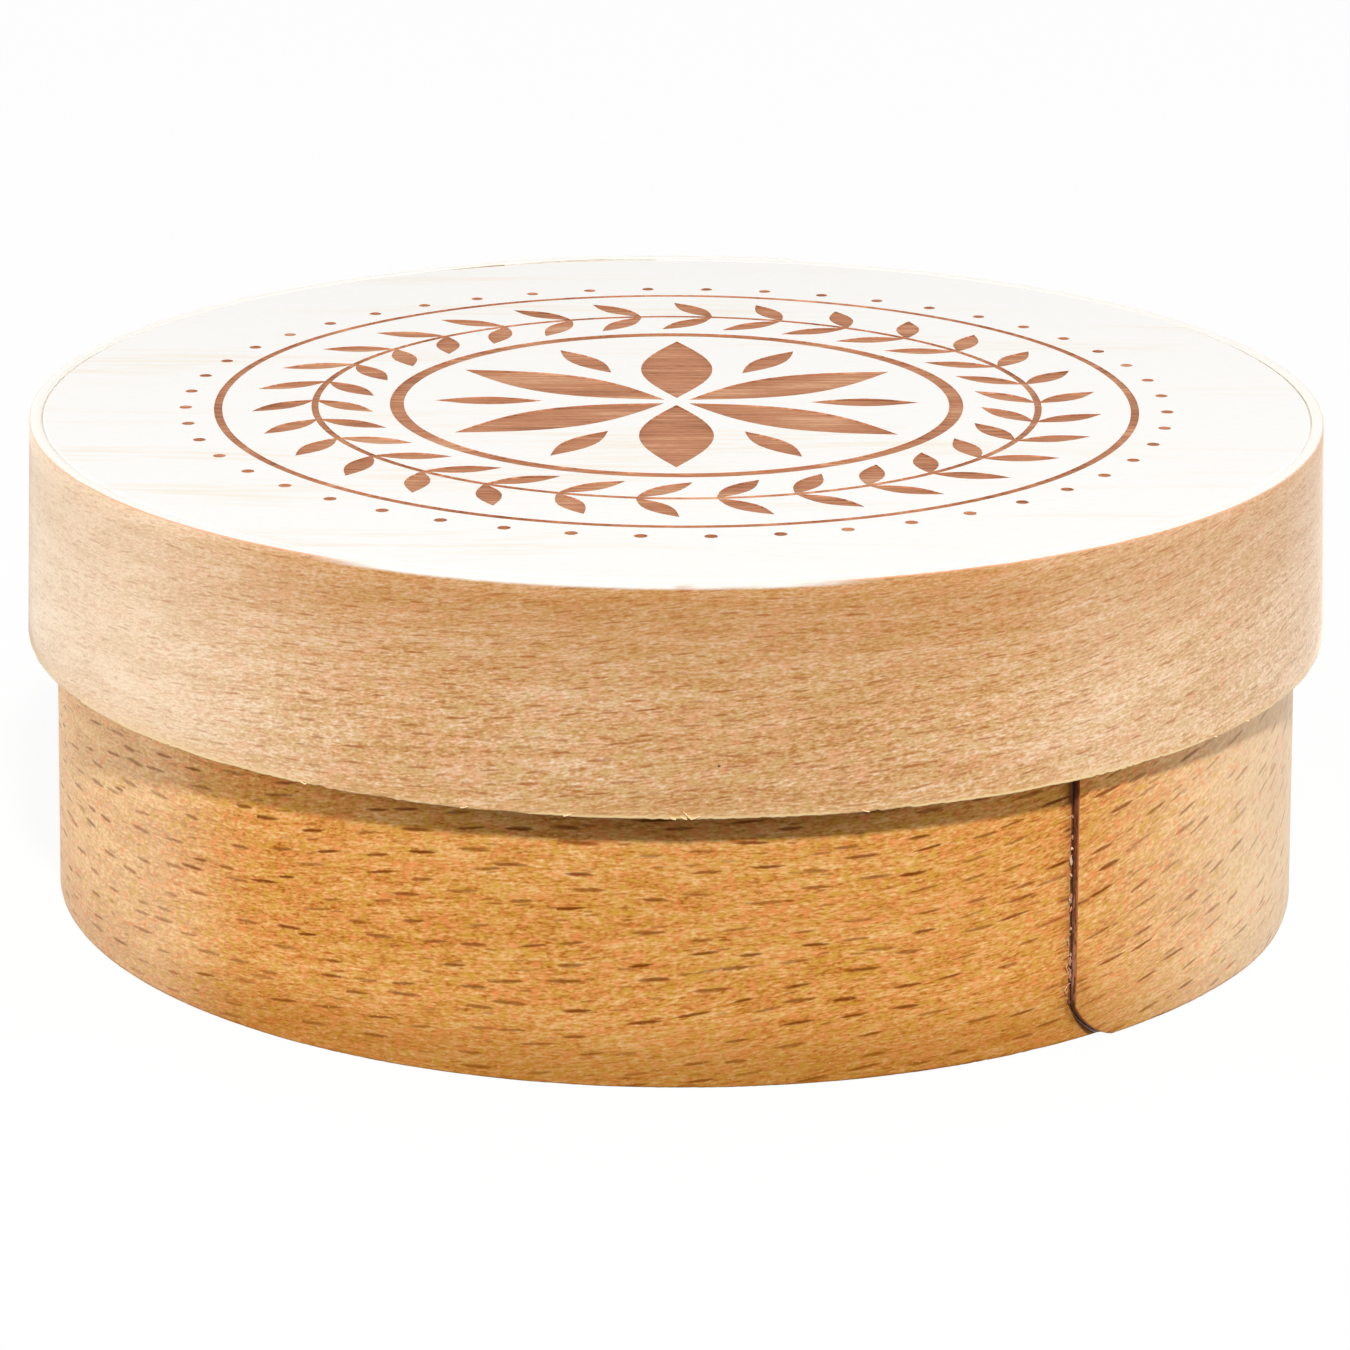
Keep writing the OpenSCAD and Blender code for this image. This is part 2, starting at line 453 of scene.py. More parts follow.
def wood_colour(g, look, tone, zone):
    """Dark to pale by the tone, whitened in the pale zone with paler veneer and painted light, with rosy and
    olive patches
    """
    colour = g.mix(g.clamp(g.math("MULTIPLY", tone, -1.0)), look["middle"], look["dark"])
    colour = g.mix(g.clamp(tone), colour, look["pale"])
    # Painted light and paler veneer: whiter in the pale zone
    colour = g.mix(g.math("MULTIPLY", zone, look["pale_and_lit_amount"]), colour, look["pale_and_lit"])
    fine = g.grained((0.8, 0.6, 0.5), 5)
    broad = g.grained((6, 2.0, 3), 6)
    tint = g.math("MULTIPLY", g.math("SUBTRACT", fine, 0.5), 2.6)
    tint = g.math("ADD", tint, g.math("SUBTRACT", broad, 0.5))
    tint = g.math("MULTIPLY", tint, g.math("MULTIPLY_ADD", zone, -0.4, look["hues"]))
    colour = g.mix(g.clamp(tint), colour, look["rosy"])
    return g.mix(g.clamp(g.math("MULTIPLY", tint, -1.0)), colour, look["olive"])


def fleck_layer(g, cell, half, share, seed):
    """Dark ray flecks: lens shapes that lie along the grain, at most one in each cell"""
    cell_long, cell_high = cell
    half_long, half_high = half
    wobble = g.noise((g.along, g.grain, 0.0), (0.5, 0.12, 1.0), seed + 4, detail=1.0)
    place = g.stretch((g.along, g.grain, 0.0), (cell_long, cell_high, 1.0), seed)
    cells = g.add("ShaderNodeTexVoronoi", {"Vector": place, "Scale": 1.0, "Randomness": 0.8},
                  voronoi_dimensions="2D", feature="F1")
    offset = g.add("ShaderNodeVectorMath", {0: place, 1: cells.outputs["Position"]}, operation="SUBTRACT")
    across, over, _ = g.split(offset.outputs[0])
    chance, long, wide = g.split(cells.outputs["Color"])

    # How far a point is from the fleck's middle, along and across it, with a little tilt and a frayed edge
    away = g.math("MULTIPLY", across, cell_long)
    aside = g.math("MULTIPLY", over, cell_high)
    aside = g.math("MULTIPLY_ADD", away, g.math("MULTIPLY_ADD", wide, 0.12, -0.06), aside)
    aside = g.math("ADD", aside, g.math("MULTIPLY_ADD", wobble, 0.16, -0.08))
    reach = g.math("MULTIPLY_ADD", long, half_long * 0.6, half_long * 0.7)
    width = g.math("MULTIPLY_ADD", wide, half_high * 0.4, half_high * 0.8)
    length_part = g.math("POWER", g.math("ABSOLUTE", g.math("DIVIDE", away, reach)), 3.0)
    width_part = g.math("DIVIDE", g.math("ABSOLUTE", aside), width)
    lens = g.math("SUBTRACT", 1.0, g.math("ADD", length_part, width_part))
    shown = g.math("LESS_THAN", chance, share)
    strength = g.math("MULTIPLY_ADD", g.math("FRACT", g.math("MULTIPLY", chance, 37.0)), 0.5, 0.5)
    return g.math("MULTIPLY", g.math("MULTIPLY", g.ramp(lens, -0.2, 0.75), shown), strength)


def ray_flecks(g, layers, zone):
    """All layers of flecks, fainter in the pale zone"""
    rays = 0.0
    for number, (cell, half, share, strength) in enumerate(layers):
        layer = fleck_layer(g, cell, half, share, g.seed + 11 + number)
        rays = g.math("MAXIMUM", rays, g.math("MULTIPLY", layer, strength))
    return g.math("MULTIPLY", rays, g.less_in(zone, 0.55))


def add_glints(g, colour, look):
    """A few bright specks low down"""
    glint = g.grained((0.32, 0.22, 0.3), 9, detail=0.0)
    glint = g.math("MULTIPLY", g.ramp(glint, 0.76, 0.82), g.ramp(g.from_foot, 10.0, 1.0))
    return g.mix(g.math("MULTIPLY", glint, look["glints"]), colour, look["pale"])


def add_pinhole(g, colour, along, up, radius):
    place = g.vector(g.along, g.up)
    gap = g.add("ShaderNodeVectorMath", {0: place, 1: (along, up, 0)}, operation="DISTANCE")
    hole = g.ramp(gap.outputs["Value"], radius * 1.3, radius * 0.6)
    return g.mix(g.math("MULTIPLY", hole, 0.8), colour, srgb(52, 36, 26))


def foot_marks(g, colour, look, zone, patches):
    """Towards the foot: darker with painted shade where the look has it, brighter where it has a glow, and
    worn or torn in patches
    """
    # Painted shade, darker towards the foot
    if "painted_foot_shade" in look:
        painted_shade_colour, amount = look["painted_foot_shade"]
        shade = g.math("MULTIPLY", g.ramp(g.from_foot, 7.0, 1.5), g.less_in(zone, 1.6))
        colour = g.mix(g.clamp(g.math("MULTIPLY", shade, amount)), colour, painted_shade_colour)
    if "foot_glow" in look:
        colour = g.mix(foot_glow(g, look), colour, look["foot_glow"][0])
    worn_colour, reach, amount = look["foot_wear"]
    worn = g.math("MULTIPLY", g.ramp(g.from_foot, reach, reach * 0.35), g.ramp(patches, 0.36, 0.54))
    return g.mix(g.math("MULTIPLY", worn, amount), colour, worn_colour)


def rim_marks(g, colour, look, zone, patches):
    """Darker towards the rim with painted shade, rosy on its very edge, chafed along a stretch, and pale
    where it was cut
    """
    # Painted shade: the lid's band darkens towards its rim
    if "painted_rim_shade" in look:
        shade = g.math("MULTIPLY", g.ramp(g.from_rim, 13.0, 1.0), g.less_in(zone, 0.6))
        colour = g.mix(g.math("MULTIPLY", shade, look["painted_rim_shade"]), colour, look["dark"])
    colour = g.mix(g.math("MULTIPLY", g.ramp(g.from_rim, 0.14, 0.05), 0.8), colour, look["rosy"])
    middle, reach = look["chafed"]
    chafed = g.math("MULTIPLY", g.near(middle, reach, reach * 0.6), g.ramp(patches, 0.25, 0.45))
    chafed = g.math("MULTIPLY", chafed, g.ramp(g.from_rim, 0.5, 0.2))
    colour = g.mix(chafed, colour, CUT_EDGE)
    cut = g.math("MULTIPLY", g.ramp(g.deep, 0.06, 0.13), g.ramp(g.from_rim, 0.14, 0.10))
    return g.mix(cut, colour, CUT_EDGE)


def beech(name, look, seed):
    """Flat-cut beech veneer"""
    g = VeneerGraph(name, look["slope"], seed)
    fibre = g.grained((0.75, 0.19, 0.3), 3, detail=1.5, roughness=0.8)
    patches = g.noise((g.along, g.up, g.deep), (8.0, 3.0, 3.0), seed + 8, detail=2.0)
    zone = pale_and_lit_zone(g, look["pale_and_lit_zones"])
    colour = wood_colour(g, look, wood_tone(g, look, fibre, zone), zone)
    rays = ray_flecks(g, look["flecks"], zone)
    colour = g.mix(rays, colour, look["fleck"])
    if "glints" in look:
        colour = add_glints(g, colour, look)
    if "pinhole" in look:
        colour = add_pinhole(g, colour, *look["pinhole"])
    colour = foot_marks(g, colour, look, zone, patches)
    colour = rim_marks(g, colour, look, zone, patches)
    height = g.math("SUBTRACT", g.math("MULTIPLY", fibre, 0.7), g.math("MULTIPLY", rays, 0.1))
    roughness = g.math("MULTIPLY_ADD", fibre, 0.2, 0.28)
    return g.finish(colour, roughness, look["gloss"], height, 0.03, sheen=look["sheen"])


def end_grain(name):
    """The sawn end of a strip, darkened by the glue that soaked in, with lighter pores. Painted shade
    darkens it deeper into the strip, towards the layer under it, and pale mauve patches partway up are a
    painted highlight.
    """
    g = Graph(name)
    along, up, deep = g.point_vector(STRIP_PLACE)
    pores = g.noise((along, up, deep), (0.3, 0.5, 0.12), 2.0, detail=3.0, roughness=0.7)
    # Painted shade: the end darkens deeper into the strip, towards the layer under it
    lit = g.math("MULTIPLY", g.ramp(pores, 0.35, 0.62), g.ramp(deep, 0.78, 0.4))
    colour = g.mix(lit, srgb(70, 40, 24), srgb(160, 98, 70))
    # Painted highlight: pale mauve patches partway up the end
    highlight_noise = g.noise((along, up, deep), (1.0, 1.3, 0.3), 6.0, detail=2.0)
    painted_highlight = g.math("MULTIPLY", g.ramp(up, 16.0, 10.0), g.ramp(up, 3.0, 5.0))
    painted_highlight = g.math("MULTIPLY", g.ramp(highlight_noise, 0.42, 0.56), painted_highlight)
    painted_highlight = g.math("MULTIPLY", painted_highlight, g.ramp(deep, 0.72, 0.5))
    colour = g.mix(g.math("MULTIPLY", painted_highlight, 0.75), colour, srgb(214, 164, 144))
    colour = g.mix(g.ramp(deep, 0.2, 0.1), colour, srgb(206, 146, 84))
    return g.finish(colour, 0.6, 0.4, pores, 0.05)


def board(name, pale, warm, shade, seed):
    """The sanded face of a disc, with faint warm streaks along X"""
    g = Graph(name)
    x, y, z = g.place_mm()
    sway = g.noise((x, y, z), (60, 25, 20), seed, detail=1.0)
    grain = g.math("MULTIPLY_ADD", sway, 6.0, y)
    broad = g.noise((x, grain, z), (40, 7, 9), seed + 1, detail=2.0)
    streak = g.noise((x, grain, z), (11, 0.9, 2), seed + 2, detail=3.0, roughness=0.6)
    fibre = g.noise((x, grain, z), (1.6, 0.2, 0.4), seed + 3, detail=2.0)
    warmth = g.math("MULTIPLY", g.ramp(broad, 0.50, 0.70), g.ramp(streak, 0.42, 0.62))
    colour = g.mix(g.math("MULTIPLY", warmth, 0.6), pale, warm)
    colour = g.mix(g.math("MULTIPLY", g.ramp(fibre, 0.5, 0.25), 0.35), colour, shade)
    height = g.math("ADD", g.math("MULTIPLY", streak, 0.6), g.math("MULTIPLY", fibre, 0.4))
    return g.finish(colour, g.math("MULTIPLY_ADD", streak, 0.2, 0.5), 0.3, height, 0.02)


def burnt_wood(name):
    """The floor of the burnt-in ornament: brown, with the board's grain showing through as streaks"""
    g = Graph(name)
    x, y, z = g.place_mm()
    streak = g.noise((x, y, z), (8, 0.45, 2), 3.0, detail=3.0, roughness=0.6)
    patch = g.noise((x, y, z), (12, 5, 5), 5.0, detail=1.0)
    fibre = g.noise((x, y, z), (0.8, 0.15, 0.3), 7.0, detail=2.0)
    tone = g.math("ADD", g.math("MULTIPLY", streak, 0.5), g.math("MULTIPLY", patch, 0.3))
    tone = g.math("ADD", tone, g.math("MULTIPLY", fibre, 0.2))
    colour = g.mix(g.ramp(tone, 0.38, 0.5), srgb(150, 94, 60), srgb(188, 126, 88))
    colour = g.mix(g.ramp(tone, 0.5, 0.64), colour, srgb(218, 166, 128))
    return g.finish(colour, 0.7, 0.25, tone, 0.06)


def dried_glue(name, colour, roughness, clear):
    """Dried wood glue: cloudy, slightly glossy, and brown where it is thin over the veneer"""
    g = Graph(name)
    x, y, z = g.place_mm()
    cloud = g.noise((x, y, z), (0.6, 0.6, 0.9), 1.0, detail=3.0)
    tint = g.mix(g.ramp(cloud, 0.35, 0.65), colour, clear)
    g.put(g.shader.inputs["Coat Weight"], 0.5)
    g.put(g.shader.inputs["Coat Roughness"], 0.15)
    return g.finish(tint, roughness, 0.5, cloud, 0.03)


# Bands

# Columns of points stand this far apart along a strip, and closer near its ends
COLUMN_GAP = 0.2
END_COLUMN_GAP = 0.1
END_LEN = 5.0
FACE_ROWS = 10
# The worn edges of the strip
OUTER_ROUND = 0.12
INNER_ROUND = 0.08
ROUND_STEPS = 3
# How far from a strip's end its cut corners are dark, with glue stain and painted shade under the corner
GLUE_AND_SHADE_LEN = 0.95 * CORNER_ALONG


def corner_limit(away):
    """How high a strip's rounded corner stands over its edge, at this distance from the strip's end"""
    if away >= CORNER_ALONG:
        return 0.0
    chord = math.hypot(CORNER_ALONG, CORNER_UP)
    rise = math.sqrt(CORNER_R ** 2 - (chord / 2) ** 2)
    mid_along = CORNER_ALONG / 2 + rise * CORNER_UP / chord
    mid_up = CORNER_UP / 2 + rise * CORNER_ALONG / chord
    return mid_up - math.sqrt(CORNER_R ** 2 - (away - mid_along) ** 2)


def ragged(along, seed, depth):
    """How far the knife's cut strays into the strip at this place on its edge, with splinters torn off"""
    slow = noise.noise(Vector((along * 0.3, seed, 0)))
    fast = noise.noise(Vector((along * 1.8, seed, 5)))
    rough = max(0.0, noise.noise(Vector((along * 0.09, seed, 11))))
    torn = math.fmod(along / 2.4 + 2.5 * slow + 5, 1.0) ** 3
    return depth * max(0.0, 0.1 + 0.4 * slow + 0.3 * fast + 2.0 * rough * torn)


def strip_columns(hoop):
    """Direction, sweep centre, growth and length along the strip of each column of points"""
    columns, along = [], 0.0
    middle_r = (hoop.foot_r + hoop.rim_r) / 2 - hoop.thick / 2
    total = sum((end - start) * (middle_r + grow) for start, end, _, grow in hoop.sweeps())
    for start, end, centre, grow in hoop.sweeps():
        radius = middle_r + grow
        length = (end - start) * radius
        done = 0.0
        while done < length - 1e-6:
            columns.append((start + done / radius, centre, grow, along + done))
            near_end = min(along + done, total - along - done) < END_LEN
            done += END_COLUMN_GAP if near_end else COLUMN_GAP
        along += length
    columns.append((end, centre, grow, total))
    return columns, total


def strip_section(hoop, low, high):
    """Points round the strip's cross-section as radius offset and height, outer face first"""
    rows = [low + (high - low) * k / FACE_ROWS for k in range(FACE_ROWS + 1)]
    section = [(hoop.radius(z), z) for z in rows]
    top, bottom = high + OUTER_ROUND, low - OUTER_ROUND
    arc = [math.pi / 2 * k / ROUND_STEPS for k in range(1, ROUND_STEPS + 1)]
    out_r, in_r = hoop.radius(top), hoop.radius(top) - hoop.thick
    section += [(out_r - OUTER_ROUND * (1 - math.cos(a)), high + OUTER_ROUND * math.sin(a)) for a in arc]
    section += [(in_r + INNER_ROUND * (1 - math.sin(a)), top - INNER_ROUND * (1 - math.cos(a)))
                for a in [0.0] + arc]
    section += [(hoop.radius(z) - hoop.thick, z) for z in reversed(rows)]
    out_r, in_r = hoop.radius(bottom), hoop.radius(bottom) - hoop.thick
    section += [(in_r + INNER_ROUND * (1 - math.cos(a)), bottom + INNER_ROUND * (1 - math.sin(a)))
                for a in arc]
    section += [(out_r - OUTER_ROUND * (1 - math.sin(a)), low - OUTER_ROUND * math.cos(a))
                for a in [0.0] + arc[:-1]]
    return section


def end_caps(first, ring, inner_top):
    """Faces that close a strip's end: its outer rows face its inner rows across the thickness"""
    pairs = [(first + k, first + inner_top + FACE_ROWS - k) for k in range(FACE_ROWS + 1)]
    caps = [(a[0], b[0], b[1], a[1]) for a, b in zip(pairs, pairs[1:])]
    caps.append(tuple(range(first + FACE_ROWS, first + inner_top + 1)))
    caps.append(tuple(range(first + inner_top + FACE_ROWS, first + ring)) + (first,))
    return caps


def bent_band(name, hoop, body, replaced, looks, rag, glue_and_shade_h, seed):
    """Closed mesh of a bent strip, whose edges stray by rag. Below the given height the cut corners of its
    ends take the end's dark material: glue stain, and painted shade under the corner."""
    columns, total = strip_columns(hoop)
    points, places, gaps, faces, kinds = [], [], [], [], []
    for angle, centre, grow, along in columns:
        from_end = min(along, total - along)
        limit = corner_limit(from_end)
        low = hoop.foot_z + limit + ragged(along, seed, rag) + OUTER_ROUND
        high = hoop.rim_z - limit - ragged(along, seed + 9, rag * 0.3) - OUTER_ROUND
        out = heading(angle)
        for radius, z in strip_section(hoop, low, high):
            flat = centre + (radius + grow) * out
            points.append(Vector((flat.x, flat.y, z)) * MM)
            places.append((along, z, hoop.radius(z) - radius))
            gaps.append((z - low + OUTER_ROUND, high + OUTER_ROUND - z, from_end))
    ring = len(points) // len(columns)
    inner_top = FACE_ROWS + 2 * ROUND_STEPS + 2
    for column in range(len(columns) - 1):
        first = column * ring
        for k in range(ring):
            after = (k + 1) % ring
            faces.append((first + k, first + ring + k, first + ring + after, first + after))
            upper_edge = FACE_ROWS + 1 <= k < inner_top
            lower_edge = k >= inner_top + FACE_ROWS and after != 0
            # Glue stain and painted shade: cut corners near the ends take the end's dark material
            glue_and_shade = points[first + k].z < glue_and_shade_h * MM and gaps[first + k][2] < GLUE_AND_SHADE_LEN
            kinds.append(1 if (upper_edge or lower_edge) and glue_and_shade else 0)
    first_caps = end_caps(0, ring, inner_top)
    last_caps = end_caps((len(columns) - 1) * ring, ring, inner_top)
    faces += first_caps + [tuple(reversed(cap)) for cap in last_caps]
    kinds += [1] * (len(first_caps) + len(last_caps))
    piece = add_piece(name, points, faces)
    for attribute_name, vectors in ((STRIP_PLACE, places), (STRIP_EDGES, gaps)):
        attribute = piece.data.attributes.new(attribute_name, "FLOAT_VECTOR", "POINT")
        attribute.data.foreach_set("vector", [value for vector in vectors for value in vector])
    dress(piece, looks, kinds)
    smooth(piece)
    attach(piece, body)
    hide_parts(replaced)


# Lid disc with its burnt-in ornament

DISC_R = LID_TOP_R - LID_BAND_T - GLUE_GAP
DISC_SIDES = 256
RING_SIDES = 180
BURN_DEPTH = 0.12
# The leaves of the wreath lean this many degrees out and in from their stem
PETALS = 6
LEAF_PAIRS = 30
LEAF_LEN = 6.6
LEAF_LEAN = 52
STEM_R = 31.0
DOTS = 48
DOT_R = 0.55
DOTS_AT = 42.0


def circle(radius, sides, centre=(0.0, 0.0), phase=0.0):
    return [Vector(centre) + radius * heading(phase + math.tau * k / sides) for k in range(sides)]


def leaf(base, tip, bulge, steps=10):
    """Pointed leaf between two points: two equal arcs, bulge being its half width over its length"""
    run = tip - base
    side = Vector((-run.y, run.x)) * bulge
    there = [base + run * (k / steps) - side * math.sin(math.pi * k / steps) for k in range(steps)]
    back = [tip - run * (k / steps) + side * math.sin(math.pi * k / steps) for k in range(steps)]
    return there + back


def ornament():
    """Six-petal rosette in a ring, inside a wreath of leaves on a thin stem and an outer row of dots. Gives
    the burnt outlines, and the outer and inner radius of each burnt ring."""
    shapes = []
    for k in range(PETALS):
        out = heading(math.tau * (k + 0.5) / PETALS)
        shapes.append(leaf(1.2 * out, 21.5 * out, 0.155, 16))
        between = heading(math.tau * k / PETALS)
        shapes.append(leaf(11.5 * between, 20.8 * between, 0.14, 8))
    for k in range(LEAF_PAIRS):
        angle = math.tau * k / LEAF_PAIRS
        root = STEM_R * heading(angle)
        for lean in (LEAF_LEAN, -LEAF_LEAN):
            tip = root + LEAF_LEN * heading(angle + math.radians(90 - lean))
            shapes.append(leaf(root, tip, 0.16, 8))
    for k in range(DOTS):
        shapes.append(circle(DOT_R, 10, DOTS_AT * heading(math.tau * (k + 0.5) / DOTS)))
    rings = [(24.6, 23.4), (STEM_R + 0.3, STEM_R - 0.3), (39.6, 38.9)]
    return shapes, rings


def disc_face():
    """The disc's face cut along the ornament: its points, its faces, and whether each face is burnt"""
    shapes, rings = ornament()
    outlines, loops, kinds = [], [], []

    def add_loop(outline, kind):
        loops.append(list(range(len(outlines), len(outlines) + len(outline))))
        outlines.extend(outline)
        kinds.append(kind)

    # Each loop says what lies inside it: the board, something burnt, or a ring's unburnt middle
    add_loop(circle(DISC_R - EDGE_BREAK, DISC_SIDES), "board")
    for outline in shapes:
        add_loop(outline, "burnt")
    for outer, inner in rings:
        add_loop(circle(outer, RING_SIDES), "ring out")
        add_loop(circle(inner, RING_SIDES), "ring in")
    flats, _, faces, _, _, sources = delaunay_2d_cdt(outlines, [], loops, 1, 1e-5)

    def is_burnt(loops_round):
        inside = [kinds[k] for k in loops_round]
        return "burnt" in inside or inside.count("ring out") > inside.count("ring in")

    points = [Vector((flat.x, flat.y, TOP_Z)) for flat in flats]
    return points, faces, [is_burnt(source) for source in sources]


def sink_burnt(points, faces, burnt_faces):
    """Lowers the burnt faces, with a wall down along their edges. Gives the new faces, the kind of each,
    and the points of the disc's outline in order."""
    lowered = {}

    def low(k):
        if k not in lowered:
            lowered[k] = len(points)
            points.append(points[k] - Vector((0, 0, BURN_DEPTH)))
        return lowered[k]

    sunk_faces, kinds, edge_burnt = [], [], {}
    for face, is_burnt in zip(faces, burnt_faces):
        sunk_faces.append(tuple(low(k) for k in face) if is_burnt else tuple(face))
        kinds.append(1 if is_burnt else 0)
        for a, b in zip(face, face[1:] + face[:1]):
            edge_burnt[(a, b)] = is_burnt
    onward = {}
    for (a, b), is_burnt in edge_burnt.items():
        if (b, a) not in edge_burnt:
            onward[a] = b
        elif not is_burnt and edge_burnt[(b, a)]:
            sunk_faces.append((b, a, low(a), low(b)))
            kinds.append(1)
    outline = [next(iter(onward))]
    while onward[outline[-1]] != outline[0]:
        outline.append(onward[outline[-1]])
    return sunk_faces, kinds, outline


def lid_disc_piece(looks):
    """The lid's disc, with its ornament sunk into its face"""
    points, faces, burnt_faces = disc_face()
    faces, kinds, outline = sink_burnt(points, faces, burnt_faces)
    back_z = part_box("lid_disc")[0].z / MM
    layers = [outline]
    for z in (TOP_Z - EDGE_BREAK, back_z):
        layers.append(list(range(len(points), len(points) + len(outline))))
        for k in outline:
            out = Vector((points[k].x, points[k].y, 0)).normalized()
            points.append(out * DISC_R + Vector((0, 0, z)))
    for upper, lower in zip(layers, layers[1:]):
        for k in range(len(outline)):
            after = (k + 1) % len(outline)
            faces.append((upper[after], upper[k], lower[k], lower[after]))
    faces.append(tuple(reversed(layers[-1])))
    kinds += [0] * (len(faces) - len(kinds))
    piece = add_piece("lid_disc_board", [p * MM for p in points], faces)
    dress(piece, looks, kinds)
    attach(piece, "lid")
    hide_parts("lid_disc")


# Glue at the laps

# The film stays back from the veneer's edges by GLUE_INSET and from its faces by FILM_GAP
GLUE_INSET = 0.4
FILM_GAP = 0.02
# The thread of glue lies this far beside the strip's end, and at least this high over the foot
THREAD_ASIDE = 0.04
THREAD_FLOOR = 0.34


def on_layer(hoop, away, z, lift):
    """A point on the layer under the lap, at a distance along the strip from its outer end"""
    flat = (hoop.radius(z) + lift) * heading(hoop.seam + away / hoop.radius(z))
    return Vector((flat.x, flat.y, z))


class Solids:
    """Closed solids that are gathered into one piece, each of one kind"""

    def __init__(self):
        self.points, self.faces, self.kinds = [], [], []

    def loft(self, loops, kind=0):
        """A solid through a row of loops, which turn left as seen from the start of the row"""
        first = len(self.points)
        size = len(loops[0])
        for loop in loops:
            self.points.extend(loop)
        for k in range(len(loops) - 1):
            start = first + k * size
            for j in range(size):
                after = (j + 1) % size
                self.faces.append((start + j, start + size + j, start + size + after, start + after))
        last = len(self.points) - size
        self.faces.append(tuple(range(first, first + size)))
        self.faces.append(tuple(reversed(range(last, last + size))))
        self.kinds += [kind] * (len(self.faces) - len(self.kinds))

    def tube(self, centres, radii, kind=0, sides=8):
        """A round thread with a changing radius"""
        loops = []
        for k, centre in enumerate(centres):
            ahead = centres[min(k + 1, len(centres) - 1)] - centres[max(k - 1, 0)]
            turn = ahead.to_track_quat("Z", "Y").to_matrix()
            edges = [heading(-math.tau * j / sides) * radii[k] for j in range(sides)]
            loops.append([centre + turn @ Vector((edge.x, edge.y, 0)) for edge in edges])
        self.loft(loops, kind)

    def drop(self, centre, size, turn, kind):
        """A small drop with three half sizes"""
        loops = []
        for k in range(1, 5):
            tall = math.pi * k / 5
            rise = math.cos(tall) * size[2]
            flats = [heading(math.tau * j / 8) * math.sin(tall) for j in range(8)]
            loops.append([centre + turn @ Vector((flat.x * size[0], flat.y * size[1], rise))
                          for flat in flats])
        self.loft(loops, kind)

    def piece(self, name, looks):
        piece = add_piece(name, [p * MM for p in self.points], self.faces)
        dress(piece, looks, self.kinds)
        smooth(piece, 60)
        return piece


def glue_thread(solids, hoop, top_z, seed):
    """The thread squeezed out where the strip's outer end meets the layer under it. It runs down the end
    and along its rounded corner, where it thickens towards the foot. Its dark brown is glue, and partly
    painted shade in the gap beside the end and under the corner."""
    places = []
    z = top_z
    while z > hoop.foot_z + CORNER_UP:
        places.append((-THREAD_ASIDE, z))
        z -= 0.3
    for k in range(14):
        away = CORNER_ALONG * k / 13
        over_foot = max(corner_limit(away) - THREAD_ASIDE, THREAD_FLOOR)
        places.append((away - THREAD_ASIDE, hoop.foot_z + over_foot))
    centres, radii = [], []
    for k, (away, z) in enumerate(places):
        swell = max(0.0, noise.noise(Vector((k * 0.5, seed, 0))))
        fat = min(max(away / CORNER_ALONG, 0.0), 1.0)
        centres.append(on_layer(hoop, away, z, 0.04 + 0.22 * fat))
        radii.append(0.04 + 0.08 * swell + 0.2 * fat)
    solids.tube(centres, radii)


def lap_film(solids, hoop):
    """The glue between the two layers of the lap, cut round like the strip's ends"""
    steps = 24
    thin, thick = FILM_GAP, GLUE_GAP - FILM_GAP
    loops = []
    for k in range(steps + 1):
        away = GLUE_INSET + (LAP_LEN - 2 * GLUE_INSET) * k / steps
        cut = GLUE_INSET + corner_limit(min(away, LAP_LEN - away))
        low, high = hoop.foot_z + cut, hoop.rim_z - cut
        corners = ((low, thick), (high, thick), (high, thin), (low, thin))
        loops.append([on_layer(hoop, away, z, lift) for z, lift in corners])
    solids.loft(loops)


def wedge_fill(solids, hoop, disc_r, low, high):
    """Glue in the wedge that the outer layer leaves beside the disc where it swings in"""
    inner_r = disc_r + GLUE_GAP
    steps = 8
    loops = []
    for start, end, centre, grow in hoop.sweeps()[:3]:
        start = max(start, end - CORNER_ALONG / hoop.rim_r)
        outer_r = hoop.rim_r - hoop.thick + grow - FILM_GAP
        for k in range(steps):
            flat = centre + outer_r * heading(start + (end - start) * k / steps)
            if flat.length > inner_r + 0.03:
                edge = flat.normalized() * inner_r
                corners = ((edge, low), (flat, low), (flat, high), (edge, high))
                loops.append([Vector((at.x, at.y, z)) for at, z in corners])
    solids.loft(loops, 2)


def glue_drops(solids, hoop, top_z, seed):
    """Drops that dried on the thread: most low down, a few higher up"""
    rng = random.Random(seed)
    for _ in range(34):
        z = hoop.foot_z + 3.4 + (top_z - hoop.foot_z - 5.0) * rng.random() ** 2.2
        away = 0.02 - 0.2 * rng.random() ** 2
        size = (0.1 + 0.06 * rng.random(), 0.07 + 0.05 * rng.random(), 0.1 + 0.22 * rng.random())
        turn = Matrix.Rotation(hoop.seam, 3, "Z") @ Matrix.Rotation(rng.gauss(0, 0.3), 3, "X")
        solids.drop(on_layer(hoop, away, z, 0.1), size, turn, rng.choice((0, 1, 1)))


def torn_bits(solids, hoop):
    """Bits of torn fibre stuck in the thread, at these heights and this far out"""
    for up, out in ((5.0, 0.6), (6.9, 0.5), (9.2, 0.4), (12.6, 0.3), (15.8, 0.3)):
        centres = []
        for t in range(6):
            away = -out * math.sin(t / 5 * 2.4)
            centres.append(on_layer(hoop, away, hoop.foot_z + up - 0.16 * t, 0.06 + 0.04 * t))
        solids.tube(centres, [0.05, 0.05, 0.045, 0.04, 0.03, 0.02], 2, sides=6)


